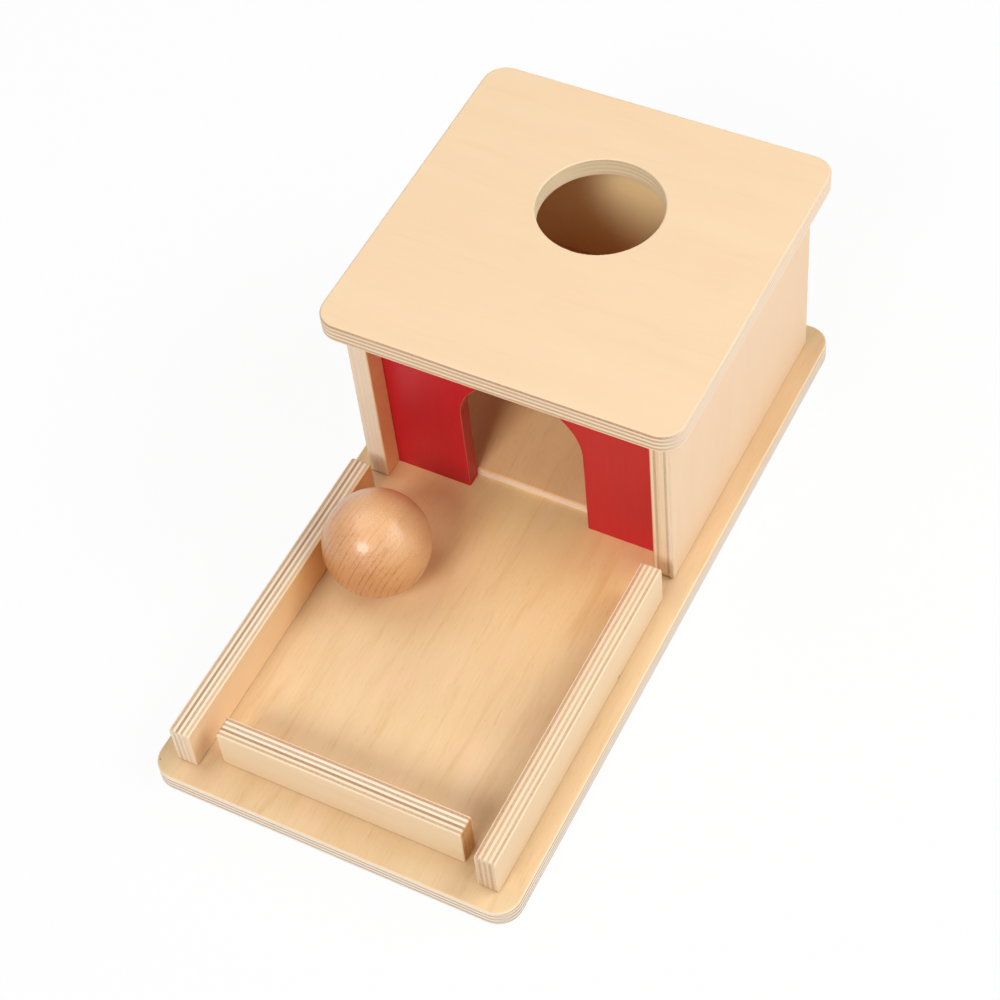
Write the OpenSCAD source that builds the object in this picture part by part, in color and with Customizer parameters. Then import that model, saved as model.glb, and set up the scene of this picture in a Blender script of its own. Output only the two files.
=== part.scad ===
// Object permanence box: a ball dropped through the hole in the top rolls down
// the ramp, out of the arch and into the tray. +Z is up, the tray is at -Y and
// the origin is the middle of the base's underside. All sizes are millimetres.

/* [Boards] */
// Thickness of the plywood in the base, top, walls and rails
ply = 9; // [8:0.5:12]
// Corner radius of the base and top boards, seen from above
corner_radius = 10; // [6:0.5:16]
// Radius rounded over along the edges of the base and top boards
round_over = 1; // [0.5:0.25:2.5]
// Radius that eases the edges of the walls, rails, hole and doorway
arris = 0.6; // [0.3:0.1:1]

/* [Base] */
// Length of the base, front to back
base_length = 315; // [290:1:350]
// Width of the base
base_width = 159.5; // [150:0.5:180]
// Distance from the base's long edges in to the walls and side rails
side_margin = 8.75; // [5:0.25:11]

/* [Box] */
// Height of the walls above the base
wall_height = 94.5; // [85:0.5:120]
// Depth of the side walls, front to back
wall_depth = 139; // [125:1:155]
// Distance from the base's rear edge in to the walls
rear_margin = 10; // [5:0.5:14]
// How far the top board stands out past each side wall
top_side_overhang = 7.5; // [4:0.5:14]
// How far the top board stands out in front of the side walls
top_front_overhang = 10; // [5:0.5:16]
// How far the top board stands out behind the walls
top_rear_overhang = 10; // [4:0.5:14]

/* [Ball hole] */
// Diameter of the hole in the top board
hole_diameter = 53; // [50:0.5:60]
// Distance from the walls' rear edges forward to the hole's centre
hole_setback = 49.5; // [45:0.5:60]

/* [Front panel] */
// Thickness of the red panel
panel_thickness = 7; // [6:0.5:10]
// Distance from the side walls' front edges back to the panel
panel_setback = 9.5; // [4:0.5:14]
// Width of the arched doorway
arch_width = 55; // [50:1:72]
// Height of the doorway's straight sides, below its half-round head
arch_spring = 46.5; // [36:0.5:48]

/* [Ramp] */
// Thickness of the ramp board
ramp_thickness = 4; // [3:0.5:6]
// Height that the ramp climbs from its toe to the back wall
ramp_rise = 21; // [14:1:30]
// Length of the flat planed under the ramp's toe
toe_land = 4; // [2:0.5:8]
// Radius that rounds the ramp's toe where the ball leaves it
toe_round = 1.2; // [0.5:0.1:2]
// Depth of the block under the ramp's high end, front to back
block_depth = 12; // [8:1:20]

/* [Tray] */
// Height of the two side rails above the base
side_rail_height = 21; // [16:0.5:30]
// Distance from the base's front edge back to the side rails
side_rail_margin = 9; // [5:0.5:14]
// Open gap between a side rail's rear end and its wall
rail_gap = 10.5; // [6:0.5:20]
// Height of the front rail above the base
front_rail_height = 20.5; // [16:0.5:30]
// Distance from the base's front edge back to the front rail
front_rail_margin = 15; // [10:0.5:24]
// Open gap between each end of the front rail and the side rail
front_rail_gap = 8.5; // [5:0.25:16]

/* [Ball] */
// Diameter of the ball
ball_diameter = 45; // [44.5:0.5:48]
// Distance from the red panel forward to the ball's centre
ball_place = 56; // [26:0.5:110]

/* [Screws] */
// Diameter of the screw's shank
screw_shank = 3; // [2.5:0.1:3.5]
// Diameter of the countersunk head
screw_head = 7; // [5.5:0.1:8]
// Length of the screw over its head
screw_length = 25; // [20:1:27]
// Depth of the head below the base's underside
screw_recess = 0.3; // [0.1:0.1:0.6]
// Distance from a rail's ends in to its screws
rail_screw_inset = 24; // [15:1:36]
// Distance from a wall's ends in to its screws and dowels
wall_fixing_inset = 26; // [22:1:40]

/* [Dowels] */
// Diameter of the dowels
dowel_diameter = 5; // [4:0.1:6]
// Length of the dowels
dowel_length = 18; // [14:1:24]
// Depth of a dowel in the board whose face it enters
dowel_seat = 5; // [4:0.5:6]
// Distance from the back wall's foot and head to its side dowels
back_dowel_inset = 28; // [22:1:34]

/* [Fits] */
// Gap all round a screw or dowel in its hole
fixing_gap = 0.05; // [0.02:0.01:0.2]
// Spare depth past the end of a screw or dowel
end_gap = 0.3; // [0.1:0.1:0.6]
// Gap at each side of the ramp and its block, between the walls
ramp_gap = 0.2; // [0.1:0.05:0.5]
// Gap between the ball at rest and the base and left rail
ball_gap = 0.3; // [0.2:0.05:0.6]

/* [Hidden] */
$fn = 96;
birch = [0.93, 0.81, 0.63];
red_paint = [0.70, 0.11, 0.11];
beech = [0.86, 0.64, 0.43];
steel = [0.74, 0.74, 0.76];

// Planes that the pieces share
front_edge = -base_length / 2;
wall_outer = base_width / 2 - side_margin;
wall_inner = wall_outer - ply;
wall_mid = wall_outer - ply / 2;
wall_rear = base_length / 2 - rear_margin;
wall_front = wall_rear - wall_depth;
back_inner = wall_rear - ply;
back_mid = wall_rear - ply / 2;
panel_front = wall_front + panel_setback;
panel_rear = panel_front + panel_thickness;
top_z = ply + wall_height;

// Tray
side_rail_front = front_edge + side_rail_margin;
side_rail_rear = wall_front - rail_gap;
side_rail_length = side_rail_rear - side_rail_front;
front_rail_front = front_edge + front_rail_margin;
front_rail_rear = front_rail_front + ply;
front_rail_length = 2 * (wall_inner - front_rail_gap);

// Top board
top_width = 2 * (wall_outer + top_side_overhang);
top_depth = wall_depth + top_front_overhang + top_rear_overhang;
top_mid = (wall_front - top_front_overhang + wall_rear + top_rear_overhang) / 2;
hole_y = wall_rear - hole_setback;

// Ramp, as a side view with its foot on the base
ramp_foot = panel_rear + ramp_gap;
ramp_head = back_inner - ramp_gap;
ramp_run = ramp_head - ramp_foot;
ramp_slope = ramp_rise / ramp_run;
ramp_stretch = sqrt(1 + ramp_slope * ramp_slope);
ramp_upright = ramp_thickness * ramp_stretch;
toe_height = ramp_upright - ramp_slope * toe_land;
toe_centre = [ramp_foot + toe_round, toe_height - toe_round * (ramp_stretch - ramp_slope)];
ramp_width = 2 * (wall_inner - ramp_gap);

// Ball
ball_radius = ball_diameter / 2;
ball_spot = [ball_gap + ball_radius - wall_inner, panel_front - ball_place, ply + ball_gap + ball_radius];

// Screws: the cross slot in the head and the solid end of the pilot hole
head_rim = 0.4;
slot_width = 0.9;
slot_span = 3.8;
slot_depth = 1.6;
tip_length = 4;
tip_width = 0.6;
pilot_depth = screw_recess + screw_length + end_gap - ply;

// Centres of the fixings, seen from above
side_rail_ys = [side_rail_front + rail_screw_inset, side_rail_rear - rail_screw_inset];
front_rail_x = front_rail_length / 2 - rail_screw_inset;
wall_ys = [wall_front + wall_fixing_inset, wall_rear - wall_fixing_inset];
back_x = wall_inner - wall_fixing_inset;
leg_mid = (wall_inner + arch_width / 2) / 2;
side_rail_spots = [for (y = side_rail_ys) [wall_mid, y]];
front_rail_spots = [for (x = [-front_rail_x, front_rail_x]) [x, front_rail_front + ply / 2]];
side_wall_spots = [for (y = wall_ys) [wall_mid, y]];
back_wall_spots = [for (x = [-back_x, back_x]) [x, back_mid]];
panel_spots = [for (x = [-leg_mid, leg_mid]) [x, panel_front + panel_thickness / 2]];
back_dowel_zs = [ply + back_dowel_inset, top_z - back_dowel_inset];
dowel_chamfer = 0.6;
cut = 1;

// Section of a board's edge: its inner end at 0, its outer arrises rounded
module edge_section(reach, thick, r) {
  square([reach - r, thick]);
  translate([0, r]) square([reach, thick - 2 * r]);
  for (y = [r, thick - r]) translate([reach - r, y]) circle(r);
}

// One straight edge of a board, along Y and facing +X
module board_edge(run, reach, thick, r) {
  translate([0, run / 2, 0]) rotate([90, 0, 0]) linear_extrude(run) edge_section(reach, thick, r);
}

// Flat board lying on Z = 0 with round corners and rounded edges
module soft_board(along_x, along_y, thick, corner, r) {
  run_x = along_x - 2 * corner;
  run_y = along_y - 2 * corner;
  linear_extrude(thick) square([run_x, run_y], center = true);
  for (turn = [0, 180]) {
    rotate(turn) translate([run_x / 2, 0, 0]) board_edge(run_y, corner, thick, r);
    rotate(turn + 90) translate([run_y / 2, 0, 0]) board_edge(run_x, corner, thick, r);
    rotate(turn) translate([run_x / 2, run_y / 2, 0])
      rotate_extrude(angle = 90) edge_section(corner, thick, r);
    rotate(turn + 90) translate([run_y / 2, run_x / 2, 0])
      rotate_extrude(angle = 90) edge_section(corner, thick, r);
  }
}

// Board with eased edges, square to the eye
module eased_board(along_x, along_y, thick) {
  soft_board(along_x, along_y, thick, 2 * arris, arris);
}

// Stands a flat board on its edge: its X runs along Y and its thickness along +X
module on_edge_along_y() {
  rotate([90, 0, 90]) children();
}

// Stands a flat board on its edge: its X runs along X and its thickness along -Y
module on_edge_along_x() {
  rotate([90, 0, 0]) children();
}

// Countersunk wood screw, head down on Z = 0
module screw() {
  shank_r = screw_shank / 2;
  head_r = screw_head / 2;
  difference() {
    rotate_extrude() polygon([
      [0, 0], [head_r, 0], [head_r, head_rim], [shank_r, head_rim + head_r - shank_r],
      [shank_r, screw_length - tip_length], [tip_width / 2, screw_length], [0, screw_length]
    ]);
    for (turn = [0, 90]) rotate(turn)
      translate([-slot_span / 2, -slot_width / 2, -cut]) cube([slot_span, slot_width, slot_depth + cut]);
  }
}

// Countersunk clearance hole through the base
module screw_hole() {
  shank_r = screw_shank / 2 + fixing_gap;
  head_r = screw_head / 2 + fixing_gap;
  seat = screw_recess + head_rim;
  rotate_extrude() polygon([
    [0, -cut], [head_r, -cut], [head_r, seat], [shank_r, seat + head_r - shank_r],
    [shank_r, ply + cut], [0, ply + cut]
  ]);
}

module screws(spots) {
  for (p = spots) translate([p[0], p[1], screw_recess]) screw();
}

// Blind holes up from the base's top face for the screws
module pilot_holes(spots) {
  for (p = spots) translate([p[0], p[1], ply - cut])
    cylinder(h = pilot_depth + cut, d = screw_shank + 2 * fixing_gap);
}

// Dowel along Z with its seated end at Z = 0
module dowel() {
  r = dowel_diameter / 2;
  rotate_extrude() polygon([
    [0, 0], [r - dowel_chamfer, 0], [r, dowel_chamfer], [r, dowel_length - dowel_chamfer],
    [r - dowel_chamfer, dowel_length], [0, dowel_length]
  ]);
}

module dowel_hole() {
  translate([0, 0, -end_gap])
    cylinder(h = dowel_length + 2 * end_gap, d = dowel_diameter + 2 * fixing_gap);
}

// Places a dowel or its hole pointing down out of the top board
module top_fixings(spots) {
  for (p = spots) translate([p[0], p[1], top_z + dowel_seat]) rotate([180, 0, 0]) children();
}

// Places a dowel or its hole pointing inwards out of the right wall
module back_fixings() {
  for (z = back_dowel_zs) translate([wall_inner + dowel_seat, back_mid, z]) rotate([0, -90, 0]) children();
}

module mirrored_pair() {
  children();
  mirror([1, 0, 0]) children();
}

module base_board() {
  color(birch) difference() {
    soft_board(base_width, base_length, ply, corner_radius, round_over);
    mirrored_pair() for (p = concat(side_rail_spots, side_wall_spots))
      translate([p[0], p[1], 0]) screw_hole();
    for (p = concat(front_rail_spots, back_wall_spots, panel_spots))
      translate([p[0], p[1], 0]) screw_hole();
  }
}

module side_wall() {
  color(birch) difference() {
    translate([wall_inner, (wall_front + wall_rear) / 2, ply + wall_height / 2])
      on_edge_along_y() eased_board(wall_depth, wall_height, ply);
    pilot_holes(side_wall_spots);
    top_fixings(side_wall_spots) dowel_hole();
    back_fixings() dowel_hole();
  }
}

module left_wall() {
  mirror([1, 0, 0]) side_wall();
}

module right_wall() {
  side_wall();
}

module back_wall() {
  color(birch) difference() {
    translate([-wall_inner, back_inner, ply]) cube([2 * wall_inner, ply, wall_height]);
    pilot_holes(back_wall_spots);
    top_fixings(back_wall_spots) dowel_hole();
    mirrored_pair() back_fixings() dowel_hole();
  }
}

// Section of an opening's flared mouth, its eased rim outside the reach of the opening
module rim_section(reach) {
  difference() {
    square([reach + arris, arris]);
    translate([reach + arris, arris]) circle(arris);
  }
}

// Repeats a flared mouth, made at Z = 0, at the other face of a board
module both_mouths(thick) {
  for (flip = [0, 1]) translate([0, 0, flip * thick]) mirror([0, 0, flip]) children();
}

// Void of the doorway through a panel that lies on Z = 0, its foot at Y = 0
module doorway() {
  r = arch_width / 2;
  translate([-r, -cut, -cut]) cube([arch_width, arch_spring + cut, panel_thickness + 2 * cut]);
  translate([0, arch_spring, -cut]) cylinder(h = panel_thickness + 2 * cut, r = r);
  both_mouths(panel_thickness) {
    translate([0, arch_spring, 0]) rotate_extrude(angle = 180) rim_section(r);
    mirrored_pair() translate([0, arch_spring, 0]) rotate([90, 0, 0])
      linear_extrude(arch_spring + cut) rim_section(r);
  }
}

module front_panel() {
  color(red_paint) difference() {
    translate([0, panel_rear, ply]) on_edge_along_x() difference() {
      translate([-wall_inner, 0, 0]) cube([2 * wall_inner, wall_height, panel_thickness]);
      doorway();
    }
    pilot_holes(panel_spots);
  }
}

// Void of the ball hole, flared at both faces by the eased rim
module ball_hole() {
  r = hole_diameter / 2;
  translate([0, 0, -cut]) cylinder(h = ply + 2 * cut, r = r);
  both_mouths(ply) rotate_extrude() rim_section(r);
}

module top_board() {
  color(birch) difference() {
    translate([0, top_mid, top_z]) soft_board(top_width, top_depth, ply, corner_radius, round_over);
    translate([0, hole_y, top_z]) ball_hole();
    mirrored_pair() top_fixings(side_wall_spots) dowel_hole();
    top_fixings(back_wall_spots) dowel_hole();
  }
}

// Extrudes a side view, drawn as Y and Z above the base, across the ramp's width
module across_ramp() {
  translate([-ramp_width / 2, 0, ply]) rotate([90, 0, 90]) linear_extrude(ramp_width) children();
}

module ramp() {
  color(birch) across_ramp() {
    polygon([
      [ramp_foot, 0], [ramp_foot, toe_centre[1]], toe_centre + toe_round / ramp_stretch * [-ramp_slope, 1],
      [ramp_head, toe_height + ramp_rise], [ramp_head, toe_height + ramp_rise - ramp_upright],
      [ramp_foot + toe_land, 0]
    ]);
    translate(toe_centre) circle(toe_round);
  }
}

// The block's bevelled top lies along the ramp's underside
module ramp_block() {
  high = toe_height + ramp_rise - ramp_upright;
  color(birch) across_ramp() polygon([
    [ramp_head - block_depth, 0], [ramp_head, 0], [ramp_head, high],
    [ramp_head - block_depth, high - ramp_slope * block_depth]
  ]);
}

module side_rail() {
  color(birch) difference() {
    translate([wall_inner, (side_rail_front + side_rail_rear) / 2, ply + side_rail_height / 2])
      on_edge_along_y() eased_board(side_rail_length, side_rail_height, ply);
    pilot_holes(side_rail_spots);
  }
}

module left_rail() {
  mirror([1, 0, 0]) side_rail();
}

module right_rail() {
  side_rail();
}

module front_rail() {
  color(birch) difference() {
    translate([0, front_rail_rear, ply + front_rail_height / 2])
      on_edge_along_x() eased_board(front_rail_length, front_rail_height, ply);
    pilot_holes(front_rail_spots);
  }
}

module ball() {
  color(beech) translate(ball_spot) sphere(d = ball_diameter);
}

module rail_screws() {
  color(steel) {
    mirrored_pair() screws(side_rail_spots);
    screws(front_rail_spots);
  }
}

module wall_screws() {
  color(steel) {
    mirrored_pair() screws(side_wall_spots);
    screws(back_wall_spots);
  }
}

module panel_screws() {
  color(steel) screws(panel_spots);
}

module top_dowels() {
  color(beech) {
    mirrored_pair() top_fixings(side_wall_spots) dowel();
    top_fixings(back_wall_spots) dowel();
  }
}

module back_dowels() {
  color(beech) mirrored_pair() back_fixings() dowel();
}

base_board();
left_wall();
right_wall();
back_wall();
front_panel();
top_board();
ramp();
ramp_block();
left_rail();
right_rail();
front_rail();
ball();
rail_screws();
wall_screws();
panel_screws();
top_dowels();
back_dowels();
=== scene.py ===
"""Object permanence box: plywood boards, a red arched panel and a beech ball, on a white studio floor."""
import math

import bpy
from mathutils import Matrix, Vector


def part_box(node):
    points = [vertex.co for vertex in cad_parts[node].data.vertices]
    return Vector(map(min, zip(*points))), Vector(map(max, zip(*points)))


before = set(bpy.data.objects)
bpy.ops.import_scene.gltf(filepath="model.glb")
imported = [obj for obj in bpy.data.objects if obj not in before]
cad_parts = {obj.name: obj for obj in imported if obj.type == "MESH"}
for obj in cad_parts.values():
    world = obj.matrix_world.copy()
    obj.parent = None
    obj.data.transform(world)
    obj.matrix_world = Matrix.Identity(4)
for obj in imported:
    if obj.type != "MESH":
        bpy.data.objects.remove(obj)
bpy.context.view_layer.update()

MM = 1000.0
X, Y, Z = Vector((1, 0, 0)), Vector((0, 1, 0)), Vector((0, 0, 1))


def linear(red, green, blue):
    """Linear colour of an sRGB colour given in 0 to 255."""
    def channel(level):
        level /= 255
        return level / 12.92 if level <= 0.04045 else ((level + 0.055) / 1.055) ** 2.4
    return (channel(red), channel(green), channel(blue), 1.0)


class Value:
    """What a node puts out. Sums on numbers add Math nodes."""

    def __init__(self, finish, socket):
        self.finish = finish
        self.socket = socket

    def math(self, operation, *terms):
        return self.finish.node("ShaderNodeMath", {"operation": operation}, dict(enumerate(terms)))

    def __add__(self, other):
        return self.math("ADD", self, other)

    def __radd__(self, other):
        return self.math("ADD", other, self)

    def __sub__(self, other):
        return self.math("SUBTRACT", self, other)

    def __rsub__(self, other):
        return self.math("SUBTRACT", other, self)

    def __mul__(self, other):
        return self.math("MULTIPLY", self, other)

    def __rmul__(self, other):
        return self.math("MULTIPLY", other, self)

    def __truediv__(self, other):
        return self.math("DIVIDE", self, other)

    def __rtruediv__(self, other):
        return self.math("DIVIDE", other, self)

    def __pow__(self, power):
        return self.math("POWER", self, power)


class Finish:
    """A material under construction: node() adds a node and wires it."""

    def __init__(self, name):
        self.material = bpy.data.materials.new(name)
        self.material.use_nodes = True
        self.tree = self.material.node_tree
        self.shader = self.tree.nodes["Principled BSDF"]
        self.facing = self.node("ShaderNodeTexCoord", output="Normal")
        self.place = self.stretch(self.node("ShaderNodeTexCoord", output="Object"), (MM, MM, MM))

    def node(self, kind, settings=None, sockets=None, output=0):
        made = self.tree.nodes.new(kind)
        for name, setting in (settings or {}).items():
            if name == "stops":
                self.lay_stops(made.color_ramp.elements, setting)
            else:
                setattr(made, name, setting)
        for name, value in (sockets or {}).items():
            self.feed(made.inputs[name], value)
        return Value(self, made.outputs[output])

    def lay_stops(self, elements, stops):
        elements.remove(elements[1])
        for index, (place, colour) in enumerate(stops):
            stop = elements.new(place) if index else elements[0]
            stop.position = place
            stop.color = colour

    def feed(self, socket, value):
        if isinstance(value, Value):
            self.tree.links.new(value.socket, socket)
        else:
            socket.default_value = value

    def surface(self, **sockets):
        """Feeds the shader's sockets, named in lower case with underscores."""
        by_name = {socket.name.lower().replace(" ", "_"): socket for socket in self.shader.inputs}
        for name, value in sockets.items():
            self.feed(by_name[name], value)

    def dot(self, vector, direction):
        settings = {"operation": "DOT_PRODUCT"}
        return self.node("ShaderNodeVectorMath", settings, {0: vector, 1: direction}, "Value")

    def stretch(self, vector, factors):
        return self.node("ShaderNodeVectorMath", {"operation": "MULTIPLY"}, {0: vector, 1: factors})

    def shift(self, vector, offset):
        return self.node("ShaderNodeVectorMath", {"operation": "ADD"}, {0: vector, 1: offset})

    def vector(self, *parts):
        return self.node("ShaderNodeCombineXYZ", None, dict(enumerate(parts)))

    def noise(self, vector, sizes, detail=2.0, roughness=0.5, distortion=0.0):
        """Soft noise, 0 to 1, whose lumps have the given sizes along the vector's three parts."""
        spread = self.stretch(vector, tuple(1 / size for size in sizes))
        return self.node("ShaderNodeTexNoise", None, {
            "Vector": spread,
            "Scale": 1.0,
            "Detail": detail,
            "Roughness": roughness,
            "Distortion": distortion,
        })

    def dots(self, vector, sizes, low, high):
        """One dot in each cell of the given sizes: 1 inside the low radius, 0 outside the high one."""
        spread = self.stretch(vector, tuple(1 / size for size in sizes))
        away = self.node("ShaderNodeTexVoronoi", None, {"Vector": spread, "Scale": 1.0}, "Distance")
        return 1 - self.step(away, low, high)

    def step(self, value, start, end):
        """0 below start, 1 above end, eased between."""
        return self.node("ShaderNodeMapRange", {"interpolation_type": "SMOOTHSTEP"}, {
            "Value": value, "From Min": start, "From Max": end,
        })

    def mix(self, amount, first, second, blend="MIX"):
        settings = {"data_type": "RGBA", "blend_type": blend}
        return self.node("ShaderNodeMix", settings, {0: amount, 6: first, 7: second}, 2)

    def ramp(self, amount, stops):
        return self.node("ShaderNodeValToRGB", {"stops": stops}, {0: amount})

    def bump(self, height, strength, distance):
        sockets = {"Height": height, "Strength": strength, "Distance": distance}
        return self.node("ShaderNodeBump", None, sockets)

    def onto(self, *nodes):
        for name in nodes:
            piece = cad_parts[name]
            piece.data.materials.clear()
            piece.data.materials.append(self.material)


# Sizes in millimetres
PLY = 9.0
VENEER = 0.65
PLY_SOFTNESS = 0.12
BASE_TOP = PLY
HOLE_AXIS = (0.0, 98.0, 0.0)
HOLE_RADIUS = 26.5
RAMP_RUN = 113.1
RAMP_RISE = 21.0
RAMP_PLY = 4.0
BLOCK_PLY = 12.0
FADE_WANDER = 24
FADE_SIDE = 4
PAST_ALL_BOARDS = 300.0
SEED_STEP_ALONG = 311
SEED_STEP_ACROSS = 173

# How much of a tone shows
BLUSH_SHARE = 0.20
# share of the paler tone laid on the hole's wall in the top board: painted light
BORE_LIGHT_SHARE = 0.6

# Tones laid over the veneers and edges
# paler tone along rounded arrises: sanded veneer, with a painted highlight on it
ARRIS_WEAR_AND_HIGHLIGHT = linear(250, 232, 204)
KNOT_BROWN = linear(110, 72, 44)
# dark tone of a thin line along the foot of each board that stands on the base board
FOOT_LINE_BROWN = linear(96, 62, 36)
BLUSH = linear(244, 202, 170)
CHECKS = linear(206, 184, 160)

# Plies seen on edges
PALE = linear(254, 241, 223)
WHITE = linear(249, 229, 203)
CREAM = linear(247, 221, 188)
PINK_CREAM = linear(241, 210, 176)
OLIVE = linear(218, 190, 153)
TAN = linear(213, 180, 143)
GREY_TAN = linear(203, 173, 141)
PINK_TAN = linear(200, 159, 124)
BROWN = linear(178, 142, 109)
MAUVE = linear(196, 172, 150)


def middle(colours):
    return tuple(sum(parts) / len(colours) for parts in zip(*colours))


def ply_stops(plies, veneers, thickness):
    """Ramp stops through a board's thickness, from its back veneer to its front veneer."""
    core = (thickness - sum(veneers)) / (len(plies) - 2)
    stops, start = [], 0.0
    for index, colour in enumerate(plies):
        end = start + {0: veneers[0], len(plies) - 1: veneers[1]}.get(index, core)
        soft = min(PLY_SOFTNESS, (end - start) * 0.3)
        stops += [((start + soft) / thickness, colour), ((end - soft) / thickness, colour)]
        start = end
    return stops


def plywood(node, out, along, plies, front, back, seed, thickness=PLY, veneers=(VENEER, VENEER), figure=1.0,
            ends=0.5, end_tone=None, arris_wear_and_highlight=0.3, pore=0.22, specks=0.0, foot=0.0, knots=(), painted_light_and_shade=None,
            bore_light=None):
    """Lacquered plywood. out is the direction of the board's front face, along is its face grain.

    plies are the edge colours from the back veneer to the front one. front and back hold each face's
    tint and stain. Where the face grain ends, the plies swap their tones, with the share ends of their
    contrast left about end_tone. foot is how dark a thin line is drawn along the board's foot, where it
    stands on the base board.

    fade is where along Y the front veneer starts to change to a tone that paints light or shade on the
    board, has changed, starts to change back and is itself again, how far across the board that reaches,
    and the tint and stain it changes to. bore is a hole's axis point, its radius and the paler tone laid on
    its wall as painted light."""
    finish = Finish("plywood_" + node)
    place = finish.place
    across = out.cross(along)
    top = max(vertex.co.dot(out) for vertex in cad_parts[node].data.vertices) * MM
    depth = finish.dot(place, out) - (top - thickness)
    grain = finish.vector(
        finish.dot(place, along) + seed * SEED_STEP_ALONG,
        finish.dot(place, across) + seed * SEED_STEP_ACROSS,
        depth,
    )
    flat = finish.dot(finish.facing, out) ** 2.0
    end_of_faces = finish.dot(finish.facing, along) ** 2.0

    # Face veneers: long bands, cloudy patches, soft flames, fine fibres, pores and a few specks
    bands = finish.noise(grain, (230, 17, 5), 2.0, 0.5, 0.4)
    clouds = finish.noise(grain, (52, 20, 5), 2.0, 0.55, 0.3)
    flames = finish.step(finish.noise(grain, (44, 5.0, 4), 2.0, 0.55, 0.8), 0.50, 0.85)
    fibres = finish.noise(grain, (24, 0.8, 3), 3.0, 0.65)
    pores = finish.step(finish.noise(grain, (5.0, 0.55, 2), 1.0, 0.5), 0.60, 0.76)
    blush = finish.step(finish.noise(grain, (30, 13, 4), 1.0), 0.48, 0.75)
    brown = (bands - 0.5) * 0.8 + (clouds - 0.5) * 0.55 + flames * 0.38
    brown = brown + (fibres - 0.5) * 0.42 + pores * pore
    shade = finish.step(brown * figure + 0.5, 0.0, 1.5)
    behind = 1 - finish.step(depth, thickness * 0.45, thickness * 0.55)
    tint = finish.mix(behind, front[0], back[0])
    stain = finish.mix(behind, front[1], back[1])
    # The front veneer changes along Y to a tone that paints light or shade on the board.
    if painted_light_and_shade:
        start, full, leave, gone, reach, (far_tint, far_stain) = painted_light_and_shade
        spot = finish.dot(place, Y) + (clouds - 0.5) * FADE_WANDER
        aside = finish.dot(place, across) ** 2.0
        change = finish.step(spot, start, full) * (1 - finish.step(spot, leave, gone)) * (1 - behind)
        change = change * (1 - finish.step(aside, (reach - FADE_SIDE) ** 2, (reach + FADE_SIDE) ** 2))
        tint = finish.mix(change, tint, far_tint)
        stain = finish.mix(change, stain, far_stain)
    face = finish.mix(shade, tint, stain)
    face = finish.mix(blush * BLUSH_SHARE, face, BLUSH)
    spots = finish.dots(grain, (37, 27, 9), 0.010, 0.026) * specks
    for middle_mm, long_mm, wide_mm in knots:
        near = finish.shift(place, tuple(-part for part in middle_mm))
        reach = (finish.dot(near, along) / long_mm) ** 2.0 + (finish.dot(near, across) / wide_mm) ** 2.0
        spots = spots + (1 - finish.step(reach, 0.2, 1.0)) * 0.7
    face = finish.mix(spots.math("MINIMUM", spots, 1.0), face, KNOT_BROWN)

    # Edges: each ply has its own tone, mottled where it is dark and shows its open grain
    wobble = (finish.noise(grain, (52, 52, 60), 2.0) - 0.5) * 0.4
    level = depth + wobble
    long_tones = finish.ramp(level / thickness, ply_stops(plies, veneers, thickness))
    end_tones = finish.ramp(level / thickness, ply_stops(plies[1:] + plies[-2:-1], veneers, thickness))
    end_tones = finish.mix(ends, end_tone or middle(plies), end_tones)
    run = finish.dot(grain, (1.0, 1.0, 0.9))
    drift = finish.noise(finish.vector(run, depth, 0.0), (64, 1.6, 1), 2.0)
    edge = finish.mix(finish.step(drift, 0.48, 0.85) * 0.5, long_tones, middle(plies))
    edge = finish.mix(end_of_faces, edge, end_tones)
    # A paler tone laid on the hole's wall: painted light.
    if bore_light:
        axis_point, radius, tone = bore_light
        spoke = finish.stretch(finish.shift(place, tuple(-part for part in axis_point)), (1, 1, 0))
        inside = 1 - finish.step(finish.dot(spoke, spoke), (radius + 1) ** 2, (radius + 2) ** 2)
        edge = finish.mix(inside * BORE_LIGHT_SHARE, edge, tone)
    light = finish.node("ShaderNodeRGBToBW", None, {"Color": edge})
    open_grain = 1 - finish.step(light, 0.44, 0.70)
    slant = finish.noise(finish.vector(run, depth, 0.0), (1.1, 0.9, 1), 2.0, 0.6)
    streaks = finish.noise(finish.vector(run, depth, 0.0), (22, 0.24, 1), 2.0, 0.6)
    mottle = (slant - 0.45) * (0.25 + open_grain * 0.75) + (streaks - 0.5) * 0.55
    edge = finish.mix(finish.step(mottle, -0.05, 0.45) * 0.75, edge, CHECKS, "MULTIPLY")

    from_back = level - (veneers[0] - VENEER)
    from_front = (thickness - veneers[1] + VENEER) - level
    edge_depth = level.math("MINIMUM", from_back, from_front)
    near_face = 1 - finish.step(edge_depth, VENEER - 0.14, VENEER + 0.10)
    skin = near_face.math("MAXIMUM", near_face, finish.step(flat, 0.55, 0.80))
    # Paler along the rounded arris: sanded veneer with a painted highlight.
    pale = skin * (1 - finish.step(flat, 0.30, 0.95)) * arris_wear_and_highlight
    wood = finish.mix(skin, edge, finish.mix(pale, face, ARRIS_WEAR_AND_HIGHLIGHT))
    # A thin dark line along the board's foot, where it stands on the base board.
    if foot:
        above = finish.dot(place, Z) - BASE_TOP
        wood = finish.mix((1 - finish.step(above, 0.1, 0.55)) * foot, wood, FOOT_LINE_BROWN)

    relief = fibres * 0.6 + slant * (1 - skin) * 1.2 - pores * 0.5
    finish.surface(
        base_color=wood,
        roughness=0.53 + (1 - skin) * 0.08 + (fibres - 0.5) * 0.12,
        specular_ior_level=0.38,
        coat_weight=0.08,
        coat_roughness=0.38,
        normal=finish.bump(relief, 0.10, 0.0002),
    )
    finish.onto(node)


# Tint and stain of the veneers
BASE = (linear(233, 205, 162), linear(206, 160, 106))
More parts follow.
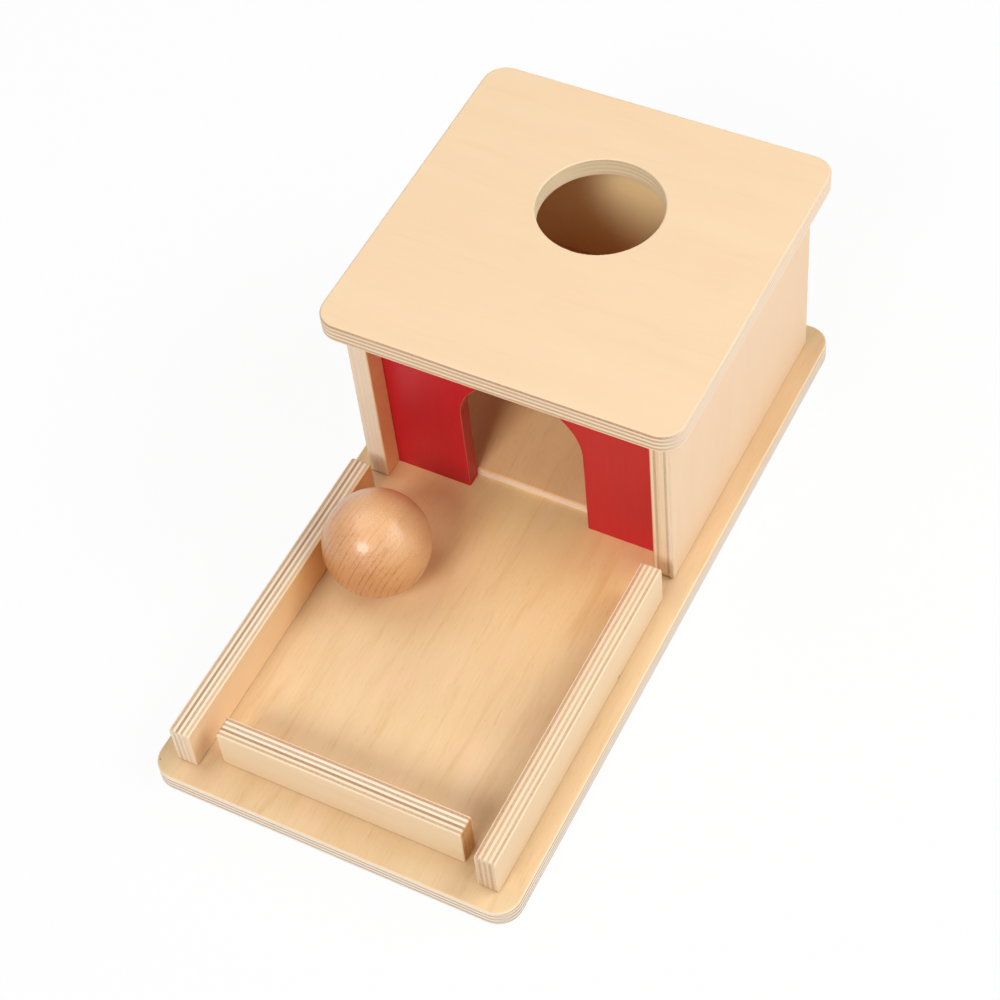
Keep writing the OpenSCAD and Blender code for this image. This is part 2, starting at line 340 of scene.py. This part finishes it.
# paler, warmer veneer on the tray near the box: painted warm light bounced off the box
BASE_REAR_PAINTED_LIGHT = (linear(251, 219, 160), linear(228, 175, 108))
TOP = (linear(242, 214, 177), linear(231, 194, 150))
WALL = (linear(243, 212, 177), linear(231, 190, 147))
# warmer tone of the left wall's inner face: painted warm bounce light in the shade beside the box
INNER_PAINTED_BOUNCE = (linear(250, 207, 151), linear(236, 180, 120))
# dark warm tone of the faces inside the box: painted shade
CHAMBER_PAINTED_SHADE = (linear(216, 146, 84), linear(192, 118, 60))
# pale tone of the back wall's inner face: painted light for what falls in through the hole
BACK_INNER_PAINTED_LIGHT = (linear(255, 234, 178), linear(255, 222, 160))
RAIL = (linear(244, 219, 183), linear(228, 191, 145))
RAIL_INNER = (linear(247, 219, 177), linear(234, 191, 140))
# more orange tone on the left rail's inner face by the ball: painted shade with the ball's warm glow in it
RAIL_REAR_PAINTED_SHADE = (linear(248, 198, 132), linear(226, 164, 100))
RAMP = (linear(255, 212, 155), linear(236, 173, 113))

# The tray's veneer turns paler and warmer towards the box: painted light.
plywood("base_board", Z, Y,
        [CREAM, MAUVE, PALE, MAUVE, PALE, MAUVE, PALE, GREY_TAN, PALE],
        BASE, BASE, 1, figure=0.8, ends=0.8, end_tone=linear(232, 212, 190), arris_wear_and_highlight=0.8, pore=0.28,
        specks=0.45, knots=[((-77.4, -151.8, BASE_TOP), 0.5, 0.4)],
        painted_light_and_shade=(-75.0, 5.0, 17.0, 36.0, 64.0, BASE_REAR_PAINTED_LIGHT))
# The top board's underside carries the painted shade tone; its hole's wall gets a paler tone as painted
# light.
plywood("top_board", Z, X,
        [CREAM, TAN, WHITE, TAN, WHITE, TAN, WHITE, PINK_TAN, WHITE],
        TOP, CHAMBER_PAINTED_SHADE, 2, veneers=(1.2, 0.2), figure=0.45, ends=0.3, end_tone=linear(243, 219, 192),
        arris_wear_and_highlight=0.9, bore_light=(HOLE_AXIS, HOLE_RADIUS, linear(255, 240, 196)))
# The left wall's inner face carries the painted warm bounce tone, then the painted shade tone inside the
# box.
plywood("left_wall", X, Y,
        [CREAM, OLIVE, CREAM, TAN, WHITE, OLIVE, PINK_CREAM, OLIVE, CREAM],
        INNER_PAINTED_BOUNCE, WALL, 3, figure=0.7, ends=0.12, end_tone=linear(249, 227, 201), foot=0.5,
        painted_light_and_shade=(20.0, 34.0, PAST_ALL_BOARDS, PAST_ALL_BOARDS + 10, PAST_ALL_BOARDS, CHAMBER_PAINTED_SHADE))
# The right wall's inner face carries the painted shade tone.
plywood("right_wall", X, Z,
        [WHITE, CREAM, TAN, PINK_CREAM, CREAM, CREAM, OLIVE, WHITE, WHITE],
        WALL, CHAMBER_PAINTED_SHADE, 4, figure=0.45, ends=0.5, foot=0.5)
# The back wall's inner face carries the pale tone of painted light.
plywood("back_wall", Y, X,
        [CREAM, TAN, WHITE, OLIVE, WHITE, OLIVE, WHITE, TAN, CREAM],
        WALL, BACK_INNER_PAINTED_LIGHT, 5, figure=0.9, ends=0.5, foot=0.5)
# The left rail's inner face turns more orange towards the ball: painted shade.
plywood("left_rail", X, Y,
        [TAN, GREY_TAN, WHITE, BROWN, WHITE, GREY_TAN, WHITE, OLIVE, CREAM],
        RAIL_INNER, RAIL, 6, figure=0.7, ends=0.35, end_tone=linear(238, 212, 184), foot=0.7,
        painted_light_and_shade=(-100.0, -30.0, PAST_ALL_BOARDS, PAST_ALL_BOARDS + 10, PAST_ALL_BOARDS, RAIL_REAR_PAINTED_SHADE))
plywood("right_rail", X, Y,
        [PINK_TAN, PINK_TAN, PINK_CREAM, TAN, CREAM, OLIVE, CREAM, TAN, CREAM],
        RAIL, RAIL, 7, figure=0.6, ends=0.6, end_tone=linear(200, 168, 132), foot=0.6,
        knots=[((70.75, -43.8, 9.9), 1.4, 0.8)])
# The front rail's dark end tone is end grain that took more lacquer, with painted shade for the right end
# in the narrow gap by the right rail.
plywood("front_rail", Y, X,
        [CREAM, GREY_TAN, CREAM, BROWN, WHITE, GREY_TAN, WHITE, PINK_TAN, TAN],
        RAIL, RAIL, 8, figure=0.6, ends=0.12, end_tone=linear(203, 151, 93), foot=0.6)
slope = Vector((0, RAMP_RUN, RAMP_RISE)).normalized()
plywood("ramp", X.cross(slope), slope,
        [CREAM, PINK_TAN, CREAM, PINK_TAN, CREAM],
        RAMP, RAMP, 9, thickness=RAMP_PLY, figure=0.9, ends=0.2, end_tone=PALE, arris_wear_and_highlight=0.15, pore=0.5)
plywood("ramp_block", Y, X,
        [CREAM, TAN, CREAM, TAN, CREAM, OLIVE, CREAM, TAN, CREAM, TAN, CREAM],
        RAMP, RAMP, 10, thickness=BLOCK_PLY, figure=0.9, ends=0.5)


def red_paint():
    """Satin red paint over plywood, paler on the arrises where the paint is thinner and with a painted
    highlight there, with the veneer's grain just showing.
    """
    finish = Finish("red_paint")
    place = finish.place
    clouds = finish.noise(place, (26, 26, 40), 2.0)
    grain = finish.noise(place, (0.9, 6, 34), 3.0, 0.6)
    orange_peel = finish.noise(place, (1.1, 1.1, 1.1), 2.0)
    shade = finish.step((clouds - 0.5) * 0.7 + (grain - 0.5) * 0.4 + 0.5, 0.1, 0.9)
    forward = finish.dot(finish.facing, Y) ** 2.0
    # Paler along the arrises: thinner paint, with a painted highlight.
    arris_wear_and_highlight = finish.step(forward, 0.10, 0.35) * (1 - finish.step(forward, 0.65, 0.92))
    red = finish.mix(shade, linear(206, 23, 40), linear(192, 18, 35))
    finish.surface(
        base_color=finish.mix(arris_wear_and_highlight * (0.18 + clouds * 0.5), red, linear(232, 140, 112)),
        roughness=0.42 + (grain - 0.5) * 0.12,
        specular_ior_level=0.45,
        normal=finish.bump(grain * 0.6 + orange_peel * 0.4, 0.10, 0.0002),
    )
    finish.onto("front_panel")


def beech(name, nodes, centre, fibre, rays, pith, ring, seed, taper=0.0, painted_shade_towards=None):
    """Turned beech under satin lacquer: growth rings about a pith line, pore dashes and ray flecks.

    fibre is the grain's direction, rays points away from the pith, which is pith mm from the centre.
    The rings spread along the fibre by the share taper for each mm. On the side that the last argument
    points to, the grain lines are strongest and the wood darkest, as painted shade; the far side is paler,
    as painted light."""
    finish = Finish(name)
    place = finish.shift(finish.place, tuple(centre * -MM))
    side = fibre.cross(rays)
    along, out, beside = (finish.dot(place, direction) for direction in (fibre, rays, side))
    grain = finish.vector(along + seed * 97, out, beside)
    bow = (finish.noise(grain, (70, 3.4, 16), 1.0) - 0.5) * 1.6
    away = ((out + pith) ** 2.0 + beside ** 2.0) ** 0.5 - pith
    turns = (away * (1 - along * taper) + bow) / ring
    year = turns.math("FRACT", turns)
    broken = finish.step(finish.noise(grain, (17, 1.1, 5), 1.0), 0.34, 0.60)
    late = finish.step(year, 0.62, 0.88) * (1 - finish.step(year, 0.90, 1.0)) * (0.25 + broken * 0.75)
    fibres = finish.noise(grain, (14, 0.4, 0.4), 2.0, 0.6)
    pores = finish.step(finish.noise(grain, (6.0, 0.34, 0.34), 1.0), 0.57, 0.70)
    flecks = finish.step(finish.noise(grain, (1.8, 1.6, 0.26), 1.0), 0.62, 0.76)
    clouds = finish.noise(grain, (34, 9, 12), 2.0)
    grit = finish.noise(place, (0.8, 0.8, 0.8), 1.0)
    # On the ball, the wood darkens and its grain lines strengthen towards the given side: painted shade,
    # with painted light on the far side.
    if painted_shade_towards:
        clouds_or_painted_shade = finish.step(finish.dot(place, painted_shade_towards), -14.0, 14.0)
    else:
        clouds_or_painted_shade = clouds
    # Grain lines, pores and the pale wood's tone follow that side: painted shade and light on the ball.
    lines = late * (0.08 + clouds_or_painted_shade * 0.47) + pores * (0.05 + clouds_or_painted_shade * 0.40) + flecks * 0.08
    brown = lines + (clouds - 0.5) * 0.5 + (fibres - 0.5) * 0.4 + 0.18
    pale = finish.mix(clouds_or_painted_shade, linear(244, 191, 135), linear(220, 158, 103))
    finish.surface(
        base_color=finish.mix(finish.step(brown, 0.0, 1.3), pale, linear(150, 82, 38)),
        roughness=0.40 + pores * 0.12,
        coat_weight=0.7,
        coat_roughness=0.23,
        normal=finish.bump(fibres * 0.4 - pores * 0.6 + grit * 1.2, 0.6, 0.0004),
    )
    finish.onto(*nodes)


def zinc():
    """Zinc-plated screws: dull bright metal with faint turning marks and cloudy plating."""
    finish = Finish("zinc_plate")
    clouds = finish.noise(finish.place, (2.4, 2.4, 2.4), 3.0, 0.6)
    turning = finish.noise(finish.place, (3.0, 3.0, 0.25), 2.0)
    finish.surface(
        base_color=finish.mix(clouds, linear(186, 188, 192), linear(214, 212, 204)),
        metallic=1.0,
        roughness=0.30 + (clouds - 0.5) * 0.25,
        normal=finish.bump(turning, 0.12, 0.0001),
    )
    finish.onto("rail_screws", "wall_screws", "panel_screws")


# Beech sizes in millimetres
RING = 2.2
DOWEL_PITH = 160
BALL_PITH = 400
BALL_TAPER = 0.002

red_paint()
ball_low, ball_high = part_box("ball")
ball_fibre = Vector((0.280, 0.855, 0.437)).normalized()
ball_rays = Vector((0.925, -0.113, -0.370))
ball_rays = (ball_rays - ball_fibre * ball_fibre.dot(ball_rays)).normalized()
# The ball's lower-left side is painted darker as shade.
beech("beech_ball", ["ball"], (ball_low + ball_high) / 2, ball_fibre, ball_rays, BALL_PITH, RING, 1,
      taper=BALL_TAPER, painted_shade_towards=(-0.45, -0.83, -0.33))
beech("beech_dowel", ["top_dowels"], Vector((0, 0, 0)), Z, X, DOWEL_PITH, RING, 2)
beech("beech_cross_dowel", ["back_dowels"], Vector((0, 0, 0)), X, Z, DOWEL_PITH, RING, 3)
zinc()


# Studio sizes in metres, and how much of the floor's white is its own glow
FLOOR_SIZE = 12
STUDIO_MIDDLE = Vector((0, 0, 0.05))
FLOOR_GLOW = 0.93


def seen_rays(sheet):
    """1 for camera, glossy and transmission rays, which see the white studio, and 0 for the rest."""
    rays = [sheet.node("ShaderNodeLightPath", output=name)
            for name in ("Is Camera Ray", "Is Glossy Ray", "Is Transmission Ray")]
    return rays[0].math("MINIMUM", rays[0] + rays[1] + rays[2], 1.0)


def floor():
    """White floor that keeps a soft share of the shadow."""
    bpy.ops.object.select_all(action="DESELECT")
    bpy.ops.mesh.primitive_plane_add(size=FLOOR_SIZE, location=(0, 0, 0))
    plane = bpy.context.object
    plane.name = "studio_floor"
    sheet = Finish("white_floor")
    sheet.surface(base_color=linear(236, 236, 236), roughness=0.9, specular_ior_level=0.0)
    glow = sheet.node("ShaderNodeEmission", None, {"Color": (1, 1, 1, 1), "Strength": 1.0})
    matt = Value(sheet, sheet.shader.outputs[0])
    white = sheet.node("ShaderNodeMixShader", None, {0: seen_rays(sheet) * FLOOR_GLOW, 1: matt, 2: glow})
    sheet.feed(sheet.tree.nodes["Material Output"].inputs["Surface"], white)
    plane.data.materials.append(sheet.material)


class Backdrop(Finish):
    """The world's node sheet, wired like a finish."""

    def __init__(self):
        world = bpy.data.worlds.new("studio")
        bpy.context.scene.world = world
        world.use_nodes = True
        self.tree = world.node_tree
        background = self.tree.nodes["Background"]
        background.inputs["Color"].default_value = (1, 1, 1, 1)
        self.feed(background.inputs["Strength"], seen_rays(self))


def softbox(name, towards, distance, size, share):
    """Round soft light. share is what it adds to a white surface that faces it."""
    data = bpy.data.lights.new(name, "AREA")
    data.shape = "DISK"
    data.size = size
    data.energy = share * math.pi ** 2 * distance ** 2
    lamp = bpy.data.objects.new(name, data)
    bpy.context.scene.collection.objects.link(lamp)
    towards = Vector(towards).normalized()
    lamp.location = STUDIO_MIDDLE + towards * distance
    lamp.rotation_mode = "QUATERNION"
    lamp.rotation_quaternion = towards.to_track_quat("Z", "Y")


# The camera that was fitted to the photograph
CAMERA_PLACE = (0.3180456, -0.4975252, 0.801765)
CAMERA_AZIMUTH = math.radians(32.7701)
CAMERA_ELEVATION = math.radians(52.3739)
CAMERA_ROLL = math.radians(-7.2423)
CAMERA_LENS = 85.6968
SENSOR_WIDTH = 36.0


def camera():
    """Camera at the photograph's place and angle, for a square image."""
    back = Vector((
        math.sin(CAMERA_AZIMUTH) * math.cos(CAMERA_ELEVATION),
        -math.cos(CAMERA_AZIMUTH) * math.cos(CAMERA_ELEVATION),
        math.sin(CAMERA_ELEVATION),
    ))
    level = Z.cross(back).normalized()
    upright = back.cross(level)
    right = level * math.cos(CAMERA_ROLL) + upright * math.sin(CAMERA_ROLL)
    up = upright * math.cos(CAMERA_ROLL) - level * math.sin(CAMERA_ROLL)
    data = bpy.data.cameras.new("photo_camera")
    data.sensor_fit = "HORIZONTAL"
    data.sensor_width = SENSOR_WIDTH
    data.lens = CAMERA_LENS
    data.clip_start = 0.05
    shot = bpy.data.objects.new("photo_camera", data)
    bpy.context.scene.collection.objects.link(shot)
    turn = Matrix((right, up, back)).transposed().to_4x4()
    shot.matrix_world = Matrix.Translation(CAMERA_PLACE) @ turn
    bpy.context.scene.camera = shot


floor()
Backdrop()
softbox("front_softbox", (-0.065, -0.775, 0.63), 2.2, 0.9, 0.568)
softbox("fill_softbox", (0.5, -0.62, 0.6), 2.2, 1.5, 0.025)
softbox("right_softbox", (0.755, -0.062, 0.652), 2.2, 1.4, 0.247)
softbox("rear_softbox", (0.62, 0.45, 0.64), 2.2, 1.5, 0.615)
softbox("left_softbox", (-0.45, 0, 0.9), 2.0, 1.5, 0.288)
camera()
bpy.context.scene.view_settings.view_transform = "Standard"
